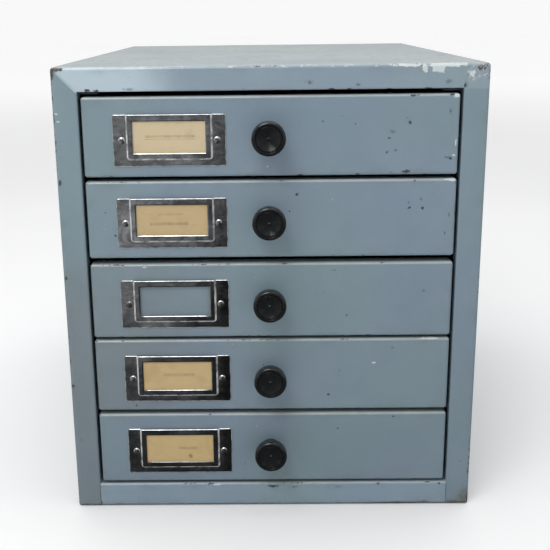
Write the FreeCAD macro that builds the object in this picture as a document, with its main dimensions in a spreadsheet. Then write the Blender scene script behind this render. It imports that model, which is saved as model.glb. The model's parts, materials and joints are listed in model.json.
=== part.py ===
import FreeCAD, Part
import math
import os
import re

import Sketcher

# Five-drawer steel organizer cabinet, in millimetres.
# X is the width, +Y runs from the front into the cabinet, Z is up. The origin is at the middle of the
# footprint, on the surface that the cabinet stands on. Drawer 1 is the top one.

SIZES = {
    # case
    "width": 292.0,
    "depth": 406.0,
    "height": 323.0,
    "gauge": 1.0,
    "bend": 2.6,
    "lip_bend": 1.2,
    "stile": 17.25,
    "top_rail": 16.5,
    "flange": 12.0,
    "strip_bend": 1.8,
    "mitre_wide": 0.35,
    "mitre_deep": 0.3,
    "weld_wide": 4.8,
    "weld_deep": 0.2,
    "rail_low": 0.7,
    "rail_top": 18.4,
    # drawer places: the lowest front's bottom edge, the pitch, and how much higher each one sits
    "lowest": 20.35,
    "pitch": 57.1,
    "lift_one": 0.3,
    "lift_two": 0.4,
    "lift_three": -0.9,
    "lift_four": 0.0,
    "lift_five": 0.0,
    # drawer fronts
    "side_gap": 2.0,
    "front_high": 54.1,
    "front_bend": 2.0,
    # trays
    "tray_gauge": 0.8,
    "tray_wide": 250.0,
    "tray_end": 390.0,
    "tray_low": 2.5,
    "tray_top": 51.7,
    "tray_bend": 2.0,
    "hem": 6.0,
    "hem_round": 0.5,
    "ear_y": 305.0,
    "ear_low": 28.0,
    "ear_top": 42.0,
    "ear_reach": 9.0,
    # runners, from the bottom edge of their drawer's front, and kickers
    "ledge_top": 2.3,
    "ledge_wide": 10.0,
    "runner_gap": 1.0,
    "web_top": 22.3,
    "weld_top": 32.3,
    "runner_front": 14.0,
    "runner_rear": 4.0,
    "kicker_low": 304.0,
    "kicker_high": 13.0,
    # knobs
    "knob_x": -1.2,
    "knob_reach": 17.5,
    "knob_wide": 23.0,
    "knob_base": 14.0,
    "knob_waist": 11.0,
    "base_thick": 1.2,
    "waist_step": 1.0,
    "waist_arc": 5.6,
    "head_thick": 7.5,
    "rim_round": 2.1,
    "groove_radius": 8.8,
    "groove_wide": 0.8,
    "groove_deep": 0.9,
    "step_deep": 0.3,
    "dish_radius": 7.4,
    "dish_deep": 1.7,
    "dish_arc": 20.0,
    "pip_radius": 1.1,
    "pip_high": 0.6,
    "insert_wide": 7.0,
    "insert_long": 10.0,
    "insert_neck": 0.5,
    "insert_collar": 3.3,
    "screw_wide": 3.9,
    "screw_head": 8.0,
    "screw_head_high": 2.4,
    "screw_long": 10.0,
    "screw_point": 0.6,
    "slot_wide": 1.1,
    "slot_deep": 1.1,
    # card holders
    "holder_wide": 76.2,
    "holder_high": 34.9,
    "holder_x": -68.0,
    "holder_drop": 2.1,
    "holder_gauge": 0.6,
    "holder_raise": 1.4,
    "holder_corner": 1.6,
    "panel_wide": 58.0,
    "panel_foot": 4.3,
    "panel_bend": 0.9,
    "window_wide": 49.0,
    "window_high": 21.5,
    "window_drop": 4.5,
    "rivet_pitch": 64.5,
    "rivet_wide": 3.0,
    "rivet_head": 4.9,
    "rivet_dome": 1.3,
    "dome_arc": 3.0,
    "rivet_tail": 0.8,
    "card_wide": 56.4,
    "card_high": 29.5,
    "card_thick": 0.4,
    # the slack round every pin, and how far a cut runs past the metal that it goes through
    "slack": 0.05,
    "overcut": 1.0,
}
NUMBERS = ("one", "two", "three", "four", "five")
CARDLESS = ("three",)
WELD_PLACES = (0.1, 0.37, 0.63, 0.9)
TOUCH = 0.001

# Formulas that several pieces share.
HALF = "width / 2"
OPENING = "(width / 2 - stile)"
OPENING_TOP = "(height - top_rail)"
FRONT_HALF = f"({OPENING} - side_gap)"
TRAY_HALF = "(tray_wide / 2)"
WEB_INNER = f"({TRAY_HALF} + runner_gap)"
WEB_OUTER = f"({WEB_INNER} + gauge)"
LEDGE_EDGE = f"({WEB_OUTER} - ledge_wide)"
SKINS = "(gauge + tray_gauge)"
KNOB_Z = "front_high / 2"
RIVET_HOLE = "(rivet_wide / 2 + slack)"
SCREW_HOLE = "(screw_wide / 2 + slack)"
HOLDER_Z = "(front_high / 2 - holder_drop)"
RUNNER_BACK = "(depth - flange - runner_rear)"
EAR_LENGTH = "(ear_reach + tray_gauge / 2)"

doc = FreeCAD.newDocument("organizer")
sheet = doc.addObject("Spreadsheet::Sheet", "Sizes")
for row, (alias, size) in enumerate(SIZES.items(), 1):
    sheet.set(f"A{row}", alias)
    sheet.set(f"B{row}", str(size))
    sheet.setAlias(f"B{row}", alias)
doc.recompute()


# ---- formulas -------------------------------------------------------------------------------------


def bound(formula):
    """Point each size named in a formula at its cell."""
    return re.sub(r"[a-z_]+", lambda word: f"Sizes.{word[0]}" if word[0] in SIZES else word[0], str(formula))


def value(formula):
    return float(sheet.evalExpression(bound(formula)))


# ---- sketches -------------------------------------------------------------------------------------


def rectangle(left, right, low, top):
    return [(left, low), (right, low), (right, top), (left, top)]


def disc(across, up, radius):
    return {"centre": (across, up), "radius": radius}


def side(start, end, radius):
    """One side of an outline: straight, or an arc that turns left (radius above 0) or right (below 0)."""
    a, b = FreeCAD.Vector(*start, 0), FreeCAD.Vector(*end, 0)
    if radius is None:
        return Part.LineSegment(a, b)
    if radius < 0:
        a, b = b, a
    chord = b - a
    rise = math.sqrt(radius**2 - (chord.Length / 2) ** 2)
    centre = (a + b) / 2 + FreeCAD.Vector(-chord.y, chord.x, 0).normalize() * rise
    circle = Part.Circle(centre, FreeCAD.Vector(0, 0, 1), abs(radius))
    return Part.ArcOfCircle(circle, circle.parameter(a), circle.parameter(b))


def draw_outline(sketch, corners):
    """A closed outline. A corner is (across, up), with a radius third where an arc leaves it."""
    places = [(value(corner[0]), value(corner[1])) for corner in corners]
    radii = [value(corner[2]) if len(corner) > 2 else None for corner in corners]
    first = sketch.GeometryCount
    count = len(corners)
    for i in range(count):
        sketch.addGeometry(side(places[i], places[(i + 1) % count], radii[i]), False)
    ends = [(2, 1) if radius is not None and radius < 0 else (1, 2) for radius in radii]
    for i, corner in enumerate(corners):
        after = (i + 1) % count
        sketch.addConstraint(
            Sketcher.Constraint("Coincident", first + i, ends[i][1], first + after, ends[after][0])
        )
        for kind, formula, place in zip(("DistanceX", "DistanceY"), corner, places[i]):
            number = sketch.addConstraint(Sketcher.Constraint(kind, -1, 1, first + i, ends[i][0], place))
            sketch.setExpression(f"Constraints[{number}]", bound(formula))
        if radii[i] is not None:
            number = sketch.addConstraint(Sketcher.Constraint("Radius", first + i, abs(radii[i])))
            sketch.setExpression(f"Constraints[{number}]", bound(f"abs({corner[2]})"))


def draw_disc(sketch, across, up, radius):
    centre = FreeCAD.Vector(value(across), value(up), 0)
    circle = sketch.addGeometry(Part.Circle(centre, FreeCAD.Vector(0, 0, 1), value(radius)), False)
    limits = (
        (Sketcher.Constraint("DistanceX", -1, 1, circle, 3, centre.x), across),
        (Sketcher.Constraint("DistanceY", -1, 1, circle, 3, centre.y), up),
        (Sketcher.Constraint("Radius", circle, value(radius)), radius),
    )
    for constraint, formula in limits:
        number = sketch.addConstraint(constraint)
        sketch.setExpression(f"Constraints[{number}]", bound(formula))


def new_sketch(body, name, plane, offset, loops):
    """A sketch on one of the body's origin planes, moved along that plane's normal."""
    sketch = body.newObject("Sketcher::SketchObject", name)
    origin_plane = next(item for item in body.Origin.OriginFeatures if item.Role == plane)
    sketch.AttachmentSupport = (origin_plane, "")
    sketch.MapMode = "FlatFace"
    sketch.setExpression("AttachmentOffset.Base.z", bound(offset))
    for loop in loops:
        if isinstance(loop, dict):
            draw_disc(sketch, *loop["centre"], loop["radius"])
        else:
            draw_outline(sketch, loop)
    return sketch


# ---- features -------------------------------------------------------------------------------------

# Each axis has its plane, whose normal is +Z, +X or, for the front view, -Y.
PLANES = {"x": "YZ_Plane", "y": "XZ_Plane", "z": "XY_Plane"}


def new_body(node, lift="0"):
    """A piece, placed so that its own y = 0 is the cabinet's face and its z = 0 is at the lift."""
    body = doc.addObject("PartDesign::Body", node)
    body.Label = node
    body.AllowCompound = True
    body.setExpression("Placement.Base.y", bound("(knob_reach - depth) / 2"))
    body.setExpression("Placement.Base.z", bound(lift))
    return body


def extrude(body, name, axis, low, high, *loops, takes_away=False):
    """Add, or cut away, a straight prism between two places on an axis."""
    if axis == "y":
        offset = f"-({low})" if takes_away else f"-({high})"
    else:
        offset = high if takes_away else low
    sketch = new_sketch(body, name + "_sketch", PLANES[axis], offset, loops)
    feature = body.newObject("PartDesign::Pocket" if takes_away else "PartDesign::Pad", name)
    feature.Profile = sketch
    feature.setExpression("Length", bound(f"({high}) - ({low})"))
    before = body.Shape.Volume if takes_away else 0.0
    doc.recompute()
    if takes_away and feature.Shape.Volume >= before:
        raise RuntimeError(f"{body.Label}: {name} cuts nothing")
    return feature


def cut(body, name, axis, low, high, *loops):
    return extrude(body, name, axis, low, high, *loops, takes_away=True)


def turn(body, name, outline):
    """Revolve an outline, given as (radius, y), about the y axis."""
    sketch = new_sketch(body, name + "_sketch", "XY_Plane", "0", [outline])
    feature = body.newObject("PartDesign::Revolution", name)
    feature.Profile = sketch
    feature.ReferenceAxis = (sketch, ["V_Axis"])
    feature.Angle = 360
    doc.recompute()
    return feature


def lies_on(item, planes):
    """True when an edge or face lies in every plane given, such as {"y": "0"}."""
    box = item.BoundBox
    for axis, formula in planes.items():
        place = value(formula)
        ends = (getattr(box, axis.upper() + "Min"), getattr(box, axis.upper() + "Max"))
        if max(abs(end - place) for end in ends) > TOUCH:
            return False
    return True


def names_on(items, word, choices):
    found = [f"{word}{i}" for i, item in enumerate(items, 1) if any(lies_on(item, c) for c in choices)]
    if not found:
        raise RuntimeError(f"no {word} on {choices}")
    return found


def fillet(body, name, radius, *choices):
    """Round every edge that lies on one of the choices of planes."""
    base = body.Tip
    feature = body.newObject("PartDesign::Fillet", name)
    feature.Base = (base, names_on(base.Shape.Edges, "Edge", choices))
    feature.setExpression("Radius", bound(radius))
    doc.recompute()
    return feature


# ---- sheet metal ----------------------------------------------------------------------------------


def crossings(planes):
    """Every edge where two of the planes cross."""
    pairs = []
    for i, (axis, place) in enumerate(planes):
        pairs += [{axis: place, other: there} for other, there in planes[i + 1 :] if other != axis]
    return pairs


def bend_radii(body, inner, outer, inner_radius, outer_radius):
    """Round the inside of the bends, then the outside."""
    fillet(body, "Inner_bends", inner_radius, *inner)
    fillet(body, "Bends", outer_radius, *outer)


def pan(body, low, high, open_end, gauge):
    """A box of bent sheet, open at one end of y or z. Returns its bends' inner and outer edges."""
    axis, opens_high = open_end[1], open_end[0] == "+"
    up = "z" if axis == "y" else "y"
    inner_low = {name: f"{place} + {gauge}" for name, place in low.items()}
    inner_high = {name: f"{place} - {gauge}" for name, place in high.items()}
    extrude(body, "Block", axis, low[axis], high[axis], rectangle(low["x"], high["x"], low[up], high[up]))
    start = inner_low[axis] if opens_high else low[axis]
    end = high[axis] if opens_high else inner_high[axis]
    cavity = rectangle(inner_low["x"], inner_high["x"], inner_low[up], inner_high[up])
    cut(body, "Inside", axis, start, end, cavity)
    edges = []
    for lows, highs in ((inner_low, inner_high), (low, high)):
        closed = [(name, lows[name]) for name in lows if name != axis or opens_high]
        closed += [(name, highs[name]) for name in highs if name != axis or not opens_high]
        edges.append(crossings(closed))
    return edges


def strip(body, axis, low, high, corners, outer, inner):
    """A folded strip of constant section. Corners numbered in outer and inner are its bends."""
    across = "y" if axis == "x" else "x"
    extrude(body, "Section", axis, low, high, corners)
    edges = [[{across: corners[i][0], "z": corners[i][1]} for i in numbers] for numbers in (inner, outer)]
    bend_radii(body, *edges, "strip_bend - gauge", "strip_bend")


# ---- case -----------------------------------------------------------------------------------------


def drawer_lift(number):
    """Height of the bottom edge of a drawer's front."""
    return f"lowest + {len(NUMBERS) - 1 - NUMBERS.index(number)} * pitch + lift_{number}"


def cabinet_shell():
    """Sides, top, stiles and top rail bent from one sheet, open at the back and between the stiles."""
    body = new_body("cabinet_shell")
    left, right = f"-{HALF}", HALF
    open_left, open_right = f"-{OPENING}", OPENING
    low = {"x": left, "y": "0", "z": "0"}
    high = {"x": right, "y": "depth", "z": "height"}
    inner, outer = pan(body, low, high, "+y", "gauge")
    fillet(body, "Inner_bends", "bend - gauge", *inner)
    arch = [
        (f"{open_left} - gauge", "gauge"),
        (open_left, "gauge"),
        (open_left, OPENING_TOP),
        (open_right, OPENING_TOP),
        (open_right, "gauge"),
        (f"{open_right} + gauge", "gauge"),
        (f"{open_right} + gauge", f"{OPENING_TOP} + gauge"),
        (f"{open_left} - gauge", f"{OPENING_TOP} + gauge"),
    ]
    extrude(body, "Returns", "y", "gauge", "flange", arch)
    cut(body, "Opening", "y", "0", "flange", rectangle(open_left, open_right, "-overcut", OPENING_TOP))
    lips = ({"x": open_left, "y": "0"}, {"x": open_right, "y": "0"}, {"y": "0", "z": OPENING_TOP})
    fillet(body, "Opening_bends", "lip_bend", *lips)
    fillet(body, "Bends", "bend", *(edge for edge in outer if edge != {"y": "0", "z": "0"}))
    foot = [
        ("-overcut", "-overcut"),
        ("bend", "-overcut"),
        ("bend", "0", "-bend"),
        ("0", "bend"),
        ("-overcut", "bend"),
    ]
    cut(body, "Foot_bend", "x", left, right, foot)
    underside = rectangle(open_left, open_right, "flange - overcut", "depth + overcut")
    cut(body, "Underside", "z", "0", "2 * gauge", underside)
    mitre = [
        (f"{left} + mitre_wide", "height"),
        (left, "height - mitre_wide"),
        (open_left, OPENING_TOP),
        (f"{open_left} + mitre_wide", f"{OPENING_TOP} + mitre_wide"),
    ]
    cut(body, "Mitre_joint", "y", "-overcut", "mitre_deep", mitre)
    weld_dimples(body)


def weld_dimples(body):
    """Spot welds on both sides, in a row along each runner."""
    marks = []
    for number in NUMBERS:
        up = f"{drawer_lift(number)} + (web_top + gauge + weld_top) / 2"
        for share in WELD_PLACES:
            along = f"runner_front + {share} * ({RUNNER_BACK} - runner_front)"
            marks.append(disc(along, up, "weld_wide / 2"))
    cut(body, "Left_welds", "x", f"-{HALF} - overcut", f"-{HALF} + weld_deep", *marks)
    cut(body, "Right_welds", "x", f"{HALF} - weld_deep", f"{HALF} + overcut", *marks)


def back_panel():
    """Pan that closes the back, with its flanges turned forward inside the shell."""
    body = new_body("back_panel")
    low = {"x": f"-{HALF} + gauge", "y": "depth - flange", "z": "gauge"}
    high = {"x": f"{HALF} - gauge", "y": "depth", "z": "height - gauge"}
    bend_radii(body, *pan(body, low, high, "-y", "gauge"), "bend - gauge", "bend")


def base_panel():
    """Pan that lies on the shell's bottom flanges, between the stiles' returns and the back panel."""
    body = new_body("base_panel")
    low = {"x": f"-{HALF} + gauge", "y": "flange", "z": "gauge"}
    high = {"x": f"{HALF} - gauge", "y": "depth - flange", "z": "gauge + flange"}
    bend_radii(body, *pan(body, low, high, "+z", "gauge"), "bend - gauge", "bend")


def bottom_rail():
    """Channel between the stiles, under the lowest drawer."""
    section = [
        ("0", "rail_low"),
        ("0", "rail_top"),
        ("flange", "rail_top"),
        ("flange", "rail_top - gauge"),
        ("gauge", "rail_top - gauge"),
        ("gauge", "rail_low + gauge"),
        ("flange", "rail_low + gauge"),
        ("flange", "rail_low"),
    ]
    body = new_body("bottom_rail")
    strip(body, "x", f"-{OPENING}", OPENING, section, outer=(0, 1), inner=(4, 5))


def runner(node, sign, number):
    """Ledge that carries a drawer, web that guides it, and flange welded to the side."""
    section = [
        (LEDGE_EDGE, "ledge_top - gauge"),
        (WEB_OUTER, "ledge_top - gauge"),
        (WEB_OUTER, "web_top"),
        (f"{HALF} - gauge", "web_top"),
        (f"{HALF} - gauge", "weld_top"),
        (f"{HALF} - 2 * gauge", "weld_top"),
        (f"{HALF} - 2 * gauge", "web_top + gauge"),
        (WEB_INNER, "web_top + gauge"),
        (WEB_INNER, "ledge_top"),
        (LEDGE_EDGE, "ledge_top"),
    ]
    body = new_body(node, drawer_lift(number))
    corners = [(f"{sign} * ({across})", up) for across, up in section]
    strip(body, "y", "runner_front", RUNNER_BACK, corners, outer=(1, 3, 7), inner=(2, 6, 8))


def kicker(node, sign):
    """Angle over the top drawer's rim, which stops the open drawer from tipping."""
    section = [
        (LEDGE_EDGE, "0"),
        (f"{HALF} - gauge", "0"),
        (f"{HALF} - gauge", "kicker_high"),
        (f"{HALF} - 2 * gauge", "kicker_high"),
        (f"{HALF} - 2 * gauge", "gauge"),
        (LEDGE_EDGE, "gauge"),
    ]
    body = new_body(node, "kicker_low")
    corners = [(f"{sign} * ({across})", up) for across, up in section]
    strip(body, "y", "runner_front", RUNNER_BACK, corners, outer=(1,), inner=(4,))


# ---- drawers --------------------------------------------------------------------------------------


def front_holes(body, start, end):
    """Holes for the knob's screw and the card holder's rivets."""
    holes = [disc("knob_x", KNOB_Z, SCREW_HOLE)]
    for sign in ("-", "+"):
        holes.append(disc(f"holder_x {sign} rivet_pitch / 2", HOLDER_Z, RIVET_HOLE))
    cut(body, "Screw_and_rivet_holes", "y", start, end, *holes)


def drawer_tray(node, number):
    """Folded tray with a hemmed rim, and an ear lanced out of each side that stops it at the stile."""
    body = new_body(node, drawer_lift(number))
    low = {"x": f"-{TRAY_HALF}", "y": "gauge", "z": "tray_low"}
    high = {"x": TRAY_HALF, "y": "tray_end", "z": "tray_top"}
    bend_radii(body, *pan(body, low, high, "+z", "tray_gauge"), "tray_bend - tray_gauge", "tray_bend")
    rim = []
    for folds in (1, 2):
        inset = f"{folds} * tray_gauge"
        half = f"({TRAY_HALF} - {inset})"
        rim.append(rectangle(f"-{half}", half, f"gauge + {inset}", f"tray_end - {inset}"))
    extrude(body, "Hem", "z", "tray_top - hem", "tray_top", *rim)
    fillet(body, "Hem_fold", "hem_round", {"z": "tray_top"})
    reach = f"({TRAY_HALF} + ear_reach)"
    window = rectangle(f"ear_y - {EAR_LENGTH}", "ear_y", "ear_low", "ear_top")
    cut(body, "Ear_windows", "x", f"-{reach}", reach, window)
    root = f"({TRAY_HALF} - tray_gauge / 2)"
    for name, sign in (("Left_ear", "-1"), ("Right_ear", "1")):
        outline = rectangle(f"{sign} * {root}", f"{sign} * {reach}", "ear_low", "ear_top")
        extrude(body, name, "y", "ear_y", "ear_y + tray_gauge", outline)
    front_holes(body, "gauge", SKINS)


def drawer_front(node, number):
    """Painted face, a shallow pan with its edges turned back round the tray."""
    body = new_body(node, drawer_lift(number))
    low = {"x": f"-{FRONT_HALF}", "y": "0", "z": "0"}
    high = {"x": FRONT_HALF, "y": "flange", "z": "front_high"}
    bend_radii(body, *pan(body, low, high, "+y", "gauge"), "front_bend - gauge", "front_bend")
    front_holes(body, "0", "gauge")


def on_knob_axis(node, number):
    body = new_body(node, f"{drawer_lift(number)} + {KNOB_Z}")
    body.setExpression("Placement.Base.x", bound("knob_x"))
    return body


def knob(node, number):
    """Turned knob: base, waist and a thick head with a rolled rim, a groove, a step and a dished face."""
    body = on_knob_axis(node, number)
    rim, face = "knob_wide / 2", "-knob_reach"
    outline = [
        ("insert_wide / 2 + slack", "0"),
        ("knob_base / 2", "0"),
        ("knob_base / 2", "-base_thick"),
        ("knob_waist / 2", "-base_thick - waist_step", "waist_arc"),
        (f"{rim} - rim_round / 2", f"{face} + head_thick", "-rim_round / 2"),
        (rim, f"{face} + head_thick - rim_round / 2"),
        (rim, f"{face} + rim_round", "-rim_round"),
        (f"{rim} - rim_round", face),
        ("groove_radius + groove_wide / 2", face),
        ("groove_radius", f"{face} + groove_deep"),
        ("groove_radius - groove_wide / 2", f"{face} + step_deep"),
        ("dish_radius", f"{face} + step_deep", "dish_arc"),
        ("pip_radius", f"{face} + dish_deep"),
        ("pip_radius", f"{face} + dish_deep - pip_high"),
        ("0", f"{face} + dish_deep - pip_high"),
        ("0", "-insert_long - slack"),
        ("insert_wide / 2 + slack", "-insert_long - slack"),
    ]
    turn(body, "Turned", outline)


def knob_insert(node, number):
    """Threaded brass bush in the back of the knob, with a knurled collar at each end."""
    body = on_knob_axis(node, number)
    skin, neck = "insert_wide / 2", "insert_wide / 2 - insert_neck"
    outline = [
        (SCREW_HOLE, "0"),
        (skin, "0"),
        (skin, "-insert_collar"),
        (neck, "-insert_collar"),
        (neck, "insert_collar - insert_long"),
        (skin, "insert_collar - insert_long"),
        (skin, "-insert_long"),
        (SCREW_HOLE, "-insert_long"),
    ]
    turn(body, "Turned", outline)


def knob_screw(node, number):
    """Slotted pan-head screw, driven from inside the drawer."""
    body = on_knob_axis(node, number)
    shank, head = "screw_wide / 2", "screw_head / 2"
    top = f"{SKINS} + screw_head_high"
    outline = [
        ("0", f"{SKINS} - screw_long"),
        (f"{shank} - screw_point", f"{SKINS} - screw_long"),
        (shank, f"{SKINS} - screw_long + screw_point"),
        (shank, SKINS),
        (head, SKINS),
        (head, f"{SKINS} + screw_head_high / 2", "screw_head_high"),
        (f"{head} - screw_head_high / 2", top),
        ("0", top),
    ]
    turn(body, "Turned", outline)
    slot = rectangle(f"-{head}", head, "-slot_wide / 2", "slot_wide / 2")
    cut(body, "Slot", "y", f"{top} - slot_deep", top, slot)


def on_holder_centre(node, number):
    body = new_body(node, f"{drawer_lift(number)} + {HOLDER_Z}")
    body.setExpression("Placement.Base.x", bound("holder_x"))
    return body


def label_frame(node, number):
    """Pressed card holder: flat wings with rivet holes, and a raised panel with a window, open at its top."""
    body = on_holder_centre(node, number)
    half, top, foot = "holder_wide / 2", "holder_high / 2", "(panel_foot - holder_high / 2)"
    raised = "(holder_gauge + holder_raise)"
    extrude(body, "Plate", "y", "-holder_gauge", "0", rectangle(f"-{half}", half, f"-{top}", top))
    corners = [{"x": x, "z": z} for x in (f"-{half}", half) for z in (f"-{top}", top)]
    fillet(body, "Corners", "holder_corner", *corners)
    left, right = "-panel_wide / 2", "panel_wide / 2"
    extrude(body, "Panel", "y", f"-{raised}", "-holder_gauge", rectangle(left, right, foot, top))
    creases = [{"y": f"-{raised}", axis: place} for axis, place in (("x", left), ("x", right), ("z", foot))]
    fillet(body, "Panel_bends", "panel_bend", *creases)
    pocket = rectangle(f"{left} + holder_gauge", f"{right} - holder_gauge", f"{foot} + holder_gauge", top)
    cut(body, "Pocket", "y", "-holder_raise", "0", pocket)
    window_top = "(holder_high / 2 - window_drop)"
    window = rectangle("-window_wide / 2", "window_wide / 2", f"{window_top} - window_high", window_top)
    cut(body, "Window", "y", f"-{raised}", "-holder_raise", window)
    holes = [disc(across, "0", RIVET_HOLE) for across in ("-rivet_pitch / 2", "rivet_pitch / 2")]
    cut(body, "Rivet_holes", "y", "-holder_gauge", "0", *holes)


def label_rivets(node, number):
    """Two rivets through the holder, the face and the tray, domed in front and clenched behind."""
    body = on_holder_centre(node, number)
    shank, head = "rivet_wide / 2", "rivet_head / 2"
    outline = [
        ("0", "-holder_gauge - rivet_dome"),
        ("0", f"{SKINS} + rivet_tail"),
        (head, f"{SKINS} + rivet_tail"),
        (head, SKINS),
        (shank, SKINS),
        (shank, "-holder_gauge"),
        (head, "-holder_gauge", "-dome_arc"),
    ]
    feature = turn(body, "Rivet", outline)
    rivets = body.newObject("PartDesign::LinearPattern", "Pair")
    rivets.Originals = [feature]
    rivets.Direction = (feature.Profile[0], ["H_Axis"])
    rivets.setExpression("Length", bound("rivet_pitch"))
    rivets.Occurrences = 2
    body.Tip = rivets
    body.setExpression("Placement.Base.x", bound("holder_x - rivet_pitch / 2"))
    doc.recompute()


def label_card(node, number):
    """Card in the holder's pocket, standing on the foot of the raised panel."""
    body = on_holder_centre(node, number)
    back = "-(holder_raise - slack - card_thick)"
    foot = "panel_foot + holder_gauge - holder_high / 2"
    card = rectangle("-card_wide / 2", "card_wide / 2", foot, f"{foot} + card_high")
    extrude(body, "Card", "y", "-(holder_raise - slack)", back, card)


# ---- build ----------------------------------------------------------------------------------------

DRAWER_PIECES = (
    drawer_tray,
    drawer_front,
    knob,
    knob_insert,
    knob_screw,
    label_frame,
    label_rivets,
    label_card,
)


def build():
    cabinet_shell()
    back_panel()
    base_panel()
    bottom_rail()
    for side_name, sign in (("left", "-1"), ("right", "1")):
        for count, number in enumerate(NUMBERS, 1):
            runner(f"runner_{side_name}_{count}", sign, number)
        kicker(f"kicker_{side_name}", sign)
    for count, number in enumerate(NUMBERS, 1):
        for piece in DRAWER_PIECES:
            if piece is not label_card or number not in CARDLESS:
                piece(f"{piece.__name__}_{count}", number)
    doc.recompute()


def check_and_export():
    """Stop on any failed object or shape, then write each piece to its own file."""
    for item in doc.Objects:
        if {"Invalid", "Error"} & set(item.State):
            raise RuntimeError(f"{item.Name} failed: {item.State}")
    pieces = [item for item in doc.Objects if item.TypeId == "PartDesign::Body"]
    for piece in pieces:
        if piece.Shape.isNull() or not piece.Shape.isValid():
            raise RuntimeError(f"{piece.Label} has no valid shape")
    os.makedirs("parts", exist_ok=True)
    for piece in pieces:
        piece.Shape.exportStep(f"parts/{piece.Label}.step")
        print(f"{piece.Label}: {len(piece.Shape.Solids)} solid, {piece.Shape.Volume / 1000:.2f} cm3")


build()
check_and_export()
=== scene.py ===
"""A five-drawer painted steel organizer: its finishes, its detailed pieces and a plain studio."""

import json
import math
import random

import bmesh
import bpy
from mathutils import Matrix, Vector


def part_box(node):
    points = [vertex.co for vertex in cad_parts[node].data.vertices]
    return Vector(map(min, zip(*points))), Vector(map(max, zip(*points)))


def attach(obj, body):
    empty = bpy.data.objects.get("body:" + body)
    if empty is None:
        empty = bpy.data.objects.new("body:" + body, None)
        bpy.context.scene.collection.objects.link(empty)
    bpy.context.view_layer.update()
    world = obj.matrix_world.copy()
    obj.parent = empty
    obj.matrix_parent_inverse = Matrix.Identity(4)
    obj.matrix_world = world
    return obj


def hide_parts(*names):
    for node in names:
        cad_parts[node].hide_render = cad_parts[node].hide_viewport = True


MM = 0.001

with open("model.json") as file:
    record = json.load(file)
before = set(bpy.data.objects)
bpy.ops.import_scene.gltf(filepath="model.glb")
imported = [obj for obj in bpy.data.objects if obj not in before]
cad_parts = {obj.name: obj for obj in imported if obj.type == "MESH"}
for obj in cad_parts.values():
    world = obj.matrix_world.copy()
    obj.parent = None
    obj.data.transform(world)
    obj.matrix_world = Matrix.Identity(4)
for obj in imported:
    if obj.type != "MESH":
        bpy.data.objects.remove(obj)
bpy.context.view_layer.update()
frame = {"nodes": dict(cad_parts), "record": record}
NODES = frame["nodes"]
BODY_OF = {n: body for body, names in frame["record"]["behaviour"]["bodies"].items() for n in names}
DRAWERS = range(1, 6)
CARDS = [k for k in DRAWERS if f"label_card_{k}" in NODES]

SHELL_LOW, SHELL_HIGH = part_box("cabinet_shell")
FACE_Y = SHELL_LOW.y


# ---- material graphs ------------------------------------------------------------------------------


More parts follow.
